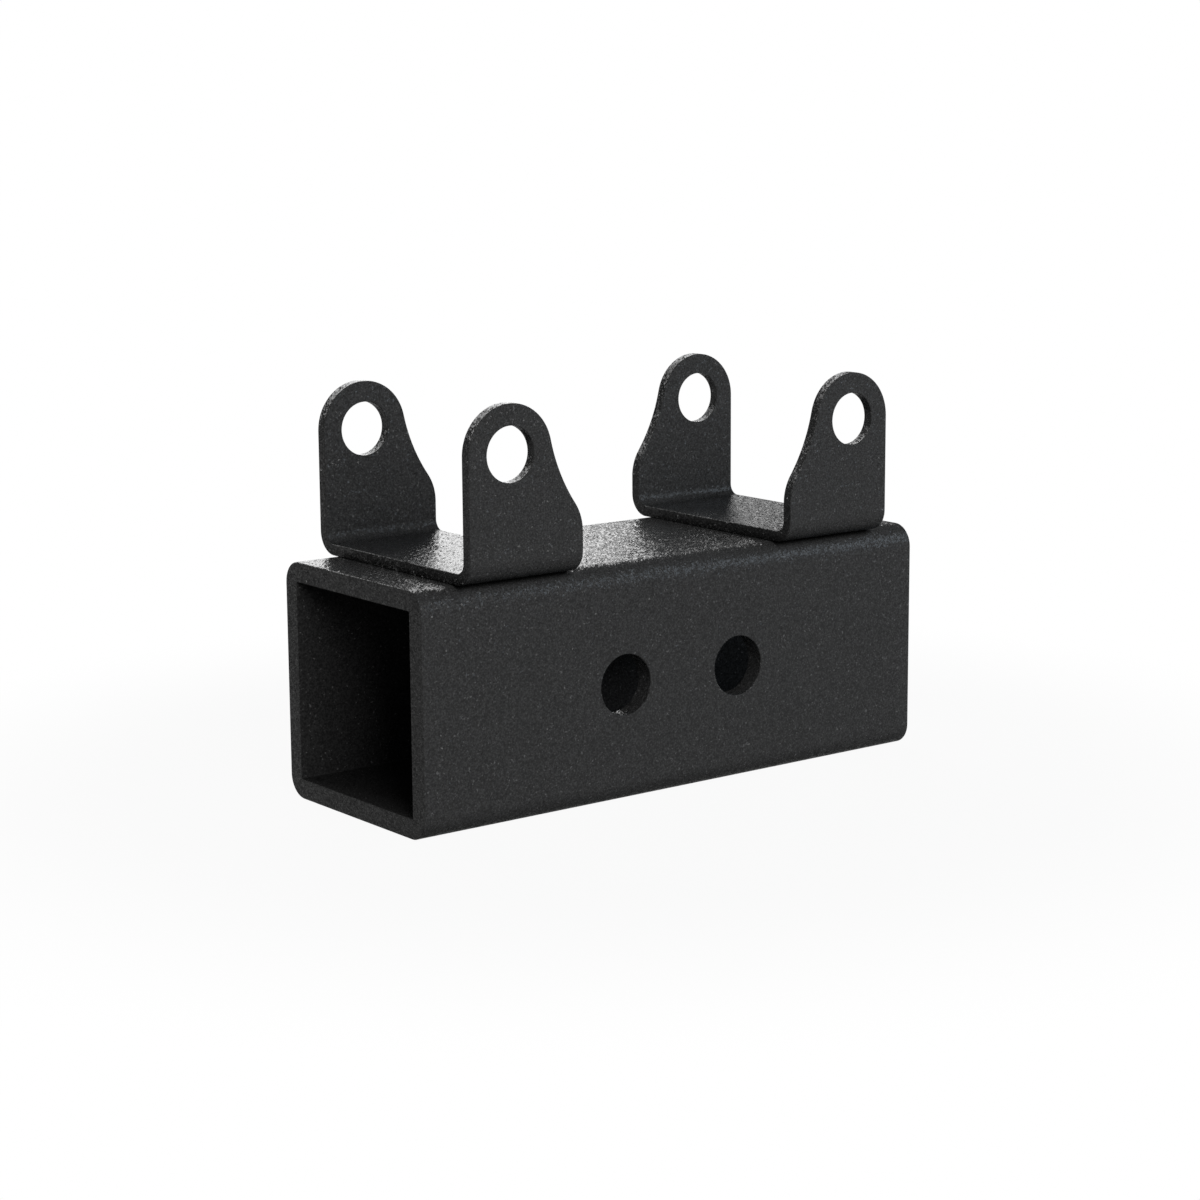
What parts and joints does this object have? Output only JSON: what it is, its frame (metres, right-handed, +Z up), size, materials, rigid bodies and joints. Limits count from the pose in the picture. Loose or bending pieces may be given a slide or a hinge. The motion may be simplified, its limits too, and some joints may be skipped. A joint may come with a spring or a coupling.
{
  "type": "hitch receiver adapter",
  "caption": "Square steel receiver tube with cross pin holes and folded clevis brackets on top, for pinning a hitch shank below a lug or bar.",
  "frame": {"origin": "under the middle of the tube, on the plane of its bottom face", "axes": "+X along the tube, +Y across it along the pins, +Z up towards the brackets"},
  "size_m": [0.165, 0.0694, 0.1086],
  "materials": {
    "powder_coat": "black powder coat with a fine sandy texture, on steel"
  },
  "bodies": {
    "root": {"receiver_tube": "powder_coat", "left_clevis_bracket": "powder_coat", "right_clevis_bracket": "powder_coat"}
  },
  "joints": []
}
